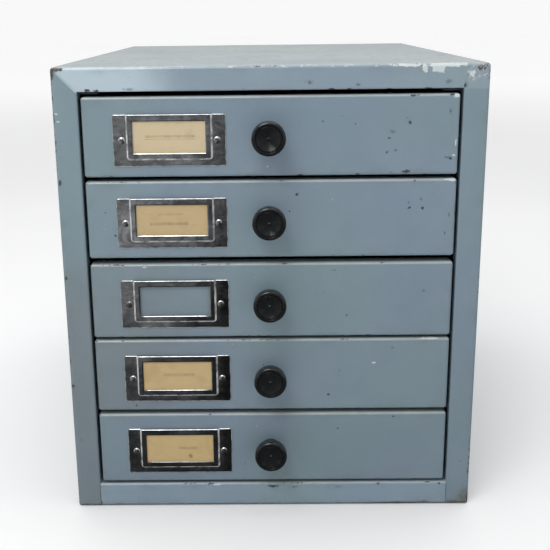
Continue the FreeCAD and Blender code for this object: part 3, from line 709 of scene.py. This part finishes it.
def make_rivets(k, bright, dull):
    """Domed heads on the holder's wings, and the clenched tails inside."""
    low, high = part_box(f"label_rivets_{k}")
    head = (high.z - low.z) / 2
    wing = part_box(f"label_frame_{k}")[1].y - HOLDER_SHEET
    profile = rivet_profile(head, wing - high.y)
    for side, x in (("left", low.x + head), ("right", high.x - head)):
        seat = Vector((x, wing, (low.z + high.z) / 2))
        material = dull if (k, side) == DULL_RIVET else bright
        new_piece(f"rivet_{side}_{k}", lathe(profile, seat, RIVET_SEGMENTS), material, f"label_rivets_{k}")


HOLDER_SEED = 40


def both_sides(places):
    """Places on one side of the middle, their mirror images, and no place twice."""
    return sorted({round(p, 7) for p in places} | {round(-p, 7) for p in places})


def make_holder(k, material):
    """Pressed card holder: flat wings, a raised panel with rolled creases, and a window with a lip."""
    low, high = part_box(f"label_frame_{k}")
    centre = (low + high) / 2
    half_x, half_z = (high.x - low.x) / 2, (high.z - low.z) / 2
    panel, foot, turn = 29.0 * MM, -half_z + 4.3 * MM, 2.2 * MM
    window_x, window_top = 24.5 * MM, half_z - 4.5 * MM
    window_foot = window_top - 21.5 * MM
    corner, press, rim_wide = 1.6 * MM, 0.90 * MM, 0.45 * MM
    curl, curl_deep, lip_wide, lip_deep = 0.65 * MM, 0.42 * MM, 0.70 * MM, 0.30 * MM

    # the sheet's grid is close round its rim, along its creases and round its window
    crease = [i * 0.15 * MM for i in range(-2, 21)]
    lip = [0.0, 0.16 * MM, 0.36 * MM, 0.70 * MM, 0.85 * MM]
    fine = [i * corner / 8 for i in range(9)]
    xs = [half_x - f for f in fine] + [panel - c for c in crease] + [window_x + c for c in lip]
    xs = both_sides(xs + [window_x * i / 6 for i in range(6)] + [half_x - 5 * MM])
    zs = [half_z - f for f in fine] + [-half_z + f for f in fine] + [foot + c for c in crease]
    zs += [window_foot - c for c in lip] + [window_top + c for c in lip]
    zs += [window_foot + (window_top - window_foot) * i / 5 for i in range(1, 5)]
    zs = sorted({round(z, 7) for z in zs})

    def inward(x, z):
        """How far inside the raised panel's outline a place is."""
        side, up = panel - abs(x), z - foot
        if side < turn and up < turn:
            return turn - math.hypot(turn - side, turn - up)
        return min(side, up)

    def rise(x, z):
        """Nothing on the wings, one on the raised panel, and between them on its creases."""
        share = max(0.0, min(1.0, inward(x, z) / press))
        return share * share * (3 - 2 * share)

    def rub_and_highlight(x, z):
        """How far handling has dulled the plating, with a painted highlight there: most along the creases,
        some on the outer rim.
        """
        crease_rub_and_highlight = 1 - (abs(inward(x, z) - press / 2) / (0.85 * press)) ** 2
        rim_rub_and_highlight = 0.8 * (1 - min(half_x - abs(x), half_z + z) / rim_wide)
        return max(0.0, crease_rub_and_highlight, rim_rub_and_highlight)

    def height(x, z):
        """How far the sheet's outer face stands off the drawer."""
        out = HOLDER_SHEET + HOLDER_RAISE * rise(x, z)
        gap = max(abs(x) - window_x, window_foot - z, z - window_top)
        out -= lip_deep * max(0.0, 1 - gap / lip_wide) ** 2
        rolled = min(1.0, max(0.0, 1 - (half_z - z) / curl))
        return out - curl_deep * (1 - math.sqrt(1 - rolled**2))

    def rounded(x, z):
        """Draw the square corners in to their radius."""
        dx, dz = (abs(x) - half_x + corner) / corner, (abs(z) - half_z + corner) / corner
        if dx <= 0 or dz <= 0:
            return x, z
        nx = half_x - corner + corner * dx * math.sqrt(1 - dz * dz / 2)
        nz = half_z - corner + corner * dz * math.sqrt(1 - dx * dx / 2)
        return math.copysign(nx, x), math.copysign(nz, z)

    tilt = random.Random(HOLDER_SEED + k).uniform(-0.10, 0.10) * MM
    bm = bmesh.new()
    rubbed = bm.verts.layers.float.new("crease")
    grid = {}
    for i, x in enumerate(xs):
        for j, z in enumerate(zs):
            px, pz = rounded(x, z)
            bow = tilt * px / half_x * rise(x, z)
            vert = bm.verts.new((centre.x + px, high.y - height(x, z) - bow, centre.z + pz))
            # rubbed plating and a painted highlight along the creases and the rim
            vert[rubbed] = rub_and_highlight(x, z)
            grid[i, j] = vert
    columns = [i for i in range(len(xs) - 1) if abs(xs[i] + xs[i + 1]) / 2 < window_x]
    rows = [j for j in range(len(zs) - 1) if window_foot < (zs[j] + zs[j + 1]) / 2 < window_top]
    window = {(i, j) for i in columns for j in rows}
    sheet_faces(bm, grid, len(xs) - 1, len(zs) - 1, window)
    bmesh.ops.delete(bm, geom=[v for v in bm.verts if not v.link_faces], context="VERTS")
    piece = new_piece(f"pressed_holder_{k}", bm, material, f"label_frame_{k}")
    thicken(piece, HOLDER_SHEET - 0.02 * MM, -1)
    soften_edges(piece, 0.12 * MM, 50)


# the cards' sheet, how far in front of the holder's back it stands, and how far its corners are drawn in and
# over what shares of its width and height
CARD_SHEET = 0.28 * MM
CARD_STAND_OFF = 0.80 * MM
CARD_CLIP = 0.7 * MM
CLIP_ACROSS, CLIP_UP = 0.02, 0.04
CARD_GRID = (36, 18)
CARD_SEED = 70


def make_card(k, material):
    """Card that stands in the holder's pocket, faintly warped, with soft corners."""
    low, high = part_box(f"label_card_{k}")
    holder_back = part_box(f"label_frame_{k}")[1].y
    rng = random.Random(CARD_SEED + k)
    phase, lean = rng.uniform(0, 6), rng.uniform(-0.4, 0.4) * MM
    columns, rows = CARD_GRID
    bm = bmesh.new()
    grid = {}
    for i in range(columns + 1):
        for j in range(rows + 1):
            s, t = i / columns, j / rows
            x = low.x + (high.x - low.x) * s
            z = low.z + (high.z - low.z) * t + lean * (s - 0.5) * 0.5
            near_side = max(0.0, 1 - (0.5 - abs(s - 0.5)) / CLIP_ACROSS)
            near_end = max(0.0, 1 - (0.5 - abs(t - 0.5)) / CLIP_UP)
            clip = CARD_CLIP * near_side * near_end
            x -= math.copysign(clip, s - 0.5)
            z -= math.copysign(clip, t - 0.5)
            wave = 0.10 * MM * math.sin(phase + 5.0 * s) * math.cos(2.2 * t + phase)
            grid[i, j] = bm.verts.new((x, holder_back - CARD_STAND_OFF + wave, z))
    sheet_faces(bm, grid, columns, rows)
    thicken(new_piece(f"index_card_{k}", bm, material, f"label_card_{k}"), CARD_SHEET, 0)


# ---- paint and plate everything -------------------------------------------------------------------

# half of how far a mark reaches into the metal behind it
MARK_DEPTH = 5 * MM

# the holder whose sheet is less flat than the others
WAVY_HOLDER = 2
# how many small marks, in no set place, each front has besides its own
LOOSE_MARKS = 6


def paint(node, material):
    slots = NODES[node].data.materials
    slots.clear()
    slots.append(material)


def spot(low, high, across, up, wide, tall, kind):
    """A mark on the front of a piece, placed by shares of its width and height, sized in millimetres."""
    centre = (low.x + (high.x - low.x) * across, low.y, low.z + (high.z - low.z) * up)
    return centre, (wide / 2 * MM, MARK_DEPTH, tall / 2 * MM), kind


# The worst knocks. Each row is the mark's place across and up the piece's front as shares of its width and
# height, the mark's own width and height in millimetres, and its kind. The case has them along its top front
# edge, round its right corner, and at its right foot.
CASE_MARKS = [
    (0.812, 0.998, 20, 3.0, "bare"),
    (0.850, 0.991, 4, 6.0, "bare"),
    (0.880, 0.990, 7, 5.0, "bare"),
    (0.888, 0.996, 24, 3.2, "bare"),
    (0.930, 0.998, 10, 2.0, "bare"),
    (0.843, 0.998, 9, 2.0, "chip"),
    (0.500, 0.999, 270, 3.4, "nicks"),
    (0.962, 0.978, 17, 16, "scrape"),
    (0.984, 0.982, 11, 14, "scrape"),
    (0.958, 0.980, 5, 4.4, "bare"),
    (0.980, 0.990, 8, 3.6, "chip"),
    (0.944, 0.958, 2.6, 6.0, "dent"),
    (0.942, 0.955, 1.4, 3.4, "chip"),
    (0.012, 0.995, 12, 3.6, "chip"),
    (0.003, 0.985, 3, 9, "chip"),
    (0.590, 0.964, 7, 3.4, "dent"),
    (0.700, 0.958, 4, 2.6, "dent"),
    (0.905, 0.962, 5, 4, "dent"),
    (0.640, 0.950, 5, 1.2, "chip"),
    (0.680, 0.950, 4, 1.1, "chip"),
    (0.770, 0.949, 5, 1.2, "chip"),
    (0.860, 0.950, 5, 1.2, "chip"),
    (0.083, 0.952, 4.5, 1.8, "chip"),
    (0.104, 0.951, 3.5, 1.5, "chip"),
    (0.178, 0.954, 9, 2.6, "dent"),
    (0.009, 0.905, 2.8, 1.4, "bare"),
    (0.012, 0.889, 3.4, 1.2, "bare"),
    (0.008, 0.760, 2.5, 3.5, "chip"),
    (0.006, 0.550, 2.2, 2.8, "chip"),
    (0.006, 0.300, 2.4, 3.2, "chip"),
    (0.018, 0.170, 1.8, 4.5, "dent"),
    (1.000, 0.000, 30, 38, "stain"),
    (0.965, 0.000, 44, 13, "stain"),
    (0.999, 0.016, 2.6, 9, "chip"),
    (0.975, 0.110, 2.0, 1.6, "dent"),
]
# Along the rail's lower right edge, where it is bent up, the stains are rust and a painted shadow.
RAIL_MARKS = [
    (0.860, 0.00, 76, 5.0, "stain"),
    (0.870, 0.00, 34, 2.4, "chip"),
    (0.935, 0.05, 16, 7.0, "stain"),
    (0.500, 0.84, 7.5, 2.2, "chip"),
    (0.560, 0.80, 8, 2.2, "dent"),
    (0.690, 0.80, 7, 2.4, "dent"),
    (0.805, 0.93, 2.6, 1.6, "chip"),
    (0.981, 0.92, 2.2, 1.6, "chip"),
    (0.340, 0.93, 5, 1.2, "bare"),
]
FRONT_MARKS = {
    1: [
        (0.824, 0.540, 5.0, 2.8, "dent"),
        (0.815, 0.464, 1.7, 1.9, "chip"),
        (0.811, 0.290, 3.2, 3.0, "dent"),
        (0.810, 0.285, 1.4, 1.2, "chip"),
        (0.834, 0.310, 3.6, 2.4, "dent"),
        (0.870, 0.652, 2.4, 2.8, "chip"),
        (0.861, 0.710, 2.2, 1.2, "dent"),
        (0.975, 0.783, 2.2, 4.8, "dent"),
        (0.972, 0.215, 5.6, 2.2, "dent"),
        (0.979, 0.200, 2.4, 2.6, "chip"),
        (0.988, 0.240, 2.0, 1.0, "bare"),
        (0.862, 0.040, 5.5, 2.6, "chip"),
        (0.823, 0.030, 4.0, 1.4, "dent"),
        (0.734, 0.012, 2.6, 1.6, "chip"),
        (0.579, 0.010, 4.0, 1.4, "chip"),
        (0.876, 0.980, 4.0, 1.5, "chip"),
        (0.890, 0.985, 1.6, 1.0, "chip"),
        (0.990, 0.975, 4.0, 3.6, "bare"),
        (0.978, 0.985, 3.0, 1.4, "chip"),
        (0.690, 0.740, 2.0, 1.4, "dent"),
        (0.992, 0.400, 1.2, 5.0, "bare"),
    ],
    2: [
        (0.570, 0.820, 2.4, 2.2, "chip"),
        (0.551, 0.600, 1.4, 1.4, "chip"),
        (0.872, 0.695, 1.7, 2.4, "dent"),
        (0.874, 0.630, 2.6, 1.6, "chip"),
        (0.910, 0.625, 2.2, 2.0, "chip"),
        (0.906, 0.740, 1.8, 2.6, "dent"),
        (0.982, 0.530, 2.2, 4.2, "dent"),
        (0.973, 0.300, 1.6, 3.4, "dent"),
        (0.887, 0.975, 1.5, 1.4, "chip"),
        (0.982, 0.988, 8.0, 2.2, "bare"),
        (0.670, 0.020, 2.4, 1.0, "dent"),
        (0.075, 0.300, 1.6, 1.4, "chip"),
        (0.045, 0.400, 4.0, 2.2, "scrape"),
    ],
    3: [
        (0.710, 0.290, 2.6, 2.4, "dent"),
        (0.711, 0.280, 1.2, 1.0, "chip"),
        (0.673, 0.900, 4.0, 1.6, "dent"),
        (0.922, 0.610, 2.2, 2.6, "dent"),
        (0.150, 0.960, 3.0, 1.0, "bare"),
    ],
    4: [
        (0.692, 0.560, 1.2, 3.2, "dent"),
        (0.661, 0.210, 2.2, 2.0, "chip"),
        (0.788, 0.660, 2.4, 0.9, "bare"),
        (0.840, 0.870, 3.0, 1.6, "dent"),
        (0.940, 0.992, 14.0, 1.2, "bare"),
        (0.110, 0.070, 1.8, 1.8, "chip"),
    ],
    5: [
        (0.689, 0.770, 1.5, 1.5, "chip"),
        (0.848, 0.945, 2.2, 1.6, "chip"),
        (0.950, 0.280, 2.2, 1.6, "dent"),
        (0.320, 0.985, 2.2, 1.0, "chip"),
        (0.420, 0.250, 1.6, 1.8, "dent"),
    ],
}


def marks_on(node, rows, extra=0):
    """Turn a table's rows into marks on a node, with a few more scattered specks of no great size."""
    low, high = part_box(node)
    rng = random.Random(len(rows) + extra)
    marks = [spot(low, high, *row) for row in rows]
    for _ in range(extra):
        across, up, size = rng.uniform(0.03, 0.97), rng.uniform(0.06, 0.94), rng.uniform(0.5, 1.1)
        marks.append(spot(low, high, across, up, size, size, rng.choice(("chip", "dent", "bare"))))
    return marks


def finish_case():
    """Paint the case and everything that is welded to it."""
    marks = marks_on("cabinet_shell", CASE_MARKS)
    special = {"dusty_top": 1.0, "painted_rail_sheen": True, "rubbed": True, "welded": True, "dulled": 1.0}
    paint("cabinet_shell", enamel("case_enamel", SHELL_LOW, SHELL_HIGH, wear=0.75, marks=marks, **special))
    panels = {
        "back_panel": {"rubbed": True},
        "base_panel": {},
        "bottom_rail": {"tone": 1.25, "marks": marks_on("bottom_rail", RAIL_MARKS)},
    }
    for node, special in panels.items():
        paint(node, enamel(f"{node}_enamel", *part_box(node), wear=0.45, dust_and_highlight_bends=0.45, **special))
    runner = enamel("runner_enamel", SHELL_LOW, SHELL_HIGH, wear=0.2)
    for node in NODES:
        if node.startswith(("runner_", "kicker_")):
            paint(node, runner)


def finish_drawers():
    """Paint the drawers, and put on their knobs, holders, rivets and cards."""
    rivet = turned_metal("rivet_bright", (0.70, 0.70, 0.69), (0.34, 0.32, 0.29), 0.24)
    dull = turned_metal("rivet_dull", (0.30, 0.29, 0.27), (0.10, 0.09, 0.08), 0.38)
    black = moulding()
    brass = turned_metal("insert_brass", (0.62, 0.45, 0.19), (0.22, 0.15, 0.07), 0.26)
    zinc = turned_metal("screw_zinc", (0.52, 0.52, 0.51), (0.22, 0.21, 0.20), 0.30)
    for k in DRAWERS:
        front, tray = f"drawer_front_{k}", f"drawer_tray_{k}"
        marks = marks_on(front, FRONT_MARKS[k], LOOSE_MARKS)
        special = {"wear": 0.35, "rust": 0.2, "dust_and_highlight_bends": 0.62, "dulled": DULL_FRONTS.get(k, 0.0)}
        paint(front, enamel(f"front_enamel_{k}", *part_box(front), marks=marks, **special))
        paint(tray, enamel(f"tray_enamel_{k}", *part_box(tray), wear=0.3, dusty_top=0.45, rubbed=True))
        paint(f"knob_insert_{k}", brass)
        paint(f"knob_screw_{k}", zinc)
        make_knob(k, black)
        wavy = 0.55 if k == WAVY_HOLDER else 0.25
        make_holder(k, chrome(f"holder_chrome_{k}", tarnish=0.25 + 0.08 * k, seed=1.7 * k, wavy=wavy))
        make_rivets(k, rivet, dull)
    for k in CARDS:
        make_card(k, card_stock(k, *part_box(f"label_card_{k}")))


# ---- studio ---------------------------------------------------------------------------------------

# the room's table and walls, which only reflections show, and the floor and backdrop that the camera sees
ROOM_RADIUS = 6.0
FLOOR_RADIUS = 14.0
FLOOR_DROP = 0.2 * MM
TABLE_DROP = 0.4 * MM
BACKDROP_LIGHT = 0.945
WHITE = (1.0, 1.0, 1.0)
TABLE_TINT = (0.94, 0.97, 1.0)
WALL_TINT = (0.96, 0.98, 1.0)


def stage_piece(name, bm, material, hidden_from=()):
    """A part of the studio, hidden from some kinds of ray."""
    piece = mesh_object(name, bm, material)
    for ray in hidden_from:
        setattr(piece, f"visible_{ray}", False)
    return piece


def ball(radius):
    bm = bmesh.new()
    bmesh.ops.create_icosphere(bm, subdivisions=4, radius=radius)
    return bm


def make_floor():
    """A pale floor that runs out, ever brighter, into a white backdrop."""
    g = Graph("studio_floor")
    tone = g.band(g.noise(1.3, 2.0), 0.3, 0.7)
    colour = g.mix(tone, (0.83, 0.83, 0.835), (0.85, 0.85, 0.85))
    glow = g.band(g.vector("LENGTH", g.place), 0.8, 4.5, 0.0, 0.30)
    material = g.finish(colour, 0.8, specular=0.1, emission=glow)
    bm = bmesh.new()
    bmesh.ops.create_circle(bm, cap_ends=True, segments=96, radius=FLOOR_RADIUS)
    stage_piece("studio_floor", bm, material, ["glossy"]).location.z = -FLOOR_DROP

    backdrop = Graph("studio_backdrop").glow(WHITE, BACKDROP_LIGHT)
    hidden_from = ("glossy", "diffuse", "transmission", "volume_scatter", "shadow")
    stage_piece("studio_backdrop", ball(FLOOR_RADIUS), backdrop, hidden_from)


def make_room():
    """The dim room that polished metal reflects: a dark table, brighter to the left, under a pale ceiling."""
    hidden_from = ("camera", "diffuse", "transmission", "volume_scatter", "shadow")
    g = Graph("room_table_glow")
    x = g.parts(g.place)[0]
    glow = g.math("ADD", g.band(x, -0.215, -0.03, 0.22, 0.018), g.band(x, 0.40, 1.20, 0.0, 0.30))
    clutter = g.band(g.noise(3.6, 3.0, 0.6, 0.5, g.stretched(3.0, 0.7, 1.0)), 0.40, 0.58, 0.35, 1.55)
    material = g.glow(TABLE_TINT, g.math("MULTIPLY", glow, clutter))
    bm = bmesh.new()
    bmesh.ops.create_grid(bm, x_segments=4, y_segments=4, size=ROOM_RADIUS)
    stage_piece("room_table", bm, material, hidden_from).location.z = -TABLE_DROP

    g = Graph("room_wall_glow")
    x, y, z = g.parts(g.vector("MULTIPLY", g.place, (1 / ROOM_RADIUS,) * 3))
    ceiling = g.band(z, 0.30, 0.80, 0.0, 0.95)
    window = g.math("MULTIPLY", g.band(g.math("ABSOLUTE", x), 0.45, 0.85), g.band(z, 0.0, 0.15, 0.35, 0.75))
    behind = g.band(y, 0.15, 0.75, 0.0, 0.62)
    glow = g.math("ADD", 0.03, g.chain("MAXIMUM", (ceiling, window, behind)))
    stage_piece("room_walls", ball(ROOM_RADIUS), g.glow(WALL_TINT, glow), hidden_from)


def make_light(name, place, target, size, power):
    light = bpy.data.lights.new(name, "AREA")
    light.shape = "RECTANGLE"
    light.size, light.size_y = size
    light.energy = power
    lamp = bpy.data.objects.new(name, light)
    bpy.context.scene.collection.objects.link(lamp)
    lamp.location = place
    lamp.rotation_euler = (Vector(target) - Vector(place)).to_track_quat("-Z", "Y").to_euler()


def make_world(colour, strength):
    world = bpy.data.worlds.new("studio_world")
    world.use_nodes = True
    background = world.node_tree.nodes["Background"]
    background.inputs["Color"].default_value = (*colour, 1.0)
    background.inputs["Strength"].default_value = strength
    bpy.context.scene.world = world


# the camera: its lens in millimetres on a 36 mm sensor, its shift, its turns in degrees, and its place, from
# the middle of the case's front edge on the floor
LENS = 61.71
SHIFT = (0.0361, 0.0020)
TURN, TILT, ROLL = 0.649, -15.584, 0.682
CAMERA_PLACE = (-0.0041, -0.6361, 0.3559)


def make_camera():
    """A view from close by and a little above the cabinet, turned and rolled by under a degree."""
    camera = bpy.data.cameras.new("camera")
    camera.sensor_width = 36.0
    camera.lens = LENS
    camera.shift_x, camera.shift_y = SHIFT
    camera.clip_start = 0.01
    eye = bpy.data.objects.new("camera", camera)
    bpy.context.scene.collection.objects.link(eye)
    turns = ((TURN, "Z"), (TILT, "X"), (ROLL, "Y"), (90.0, "X"))
    place = Matrix.Translation(Vector(CAMERA_PLACE) + Vector((0.0, FACE_Y, 0.0)))
    for angle, axis in turns:
        place = place @ Matrix.Rotation(math.radians(angle), 4, axis)
    eye.matrix_world = place
    bpy.context.scene.camera = eye


def make_studio():
    make_floor()
    make_room()
    make_world(WHITE, strength=0.76)
    middle = (0.0, 0.0, 0.16)
    make_light("key", (-0.35, -0.85, 1.15), middle, size=(0.6, 0.5), power=6.0)
    make_light("overhead", (0.0, 0.2, 2.0), middle, size=(1.8, 1.4), power=14.0)
    make_camera()


finish_case()
finish_drawers()
make_studio()
bpy.context.scene.view_settings.view_transform = "Standard"

bpy.context.view_layer.update()
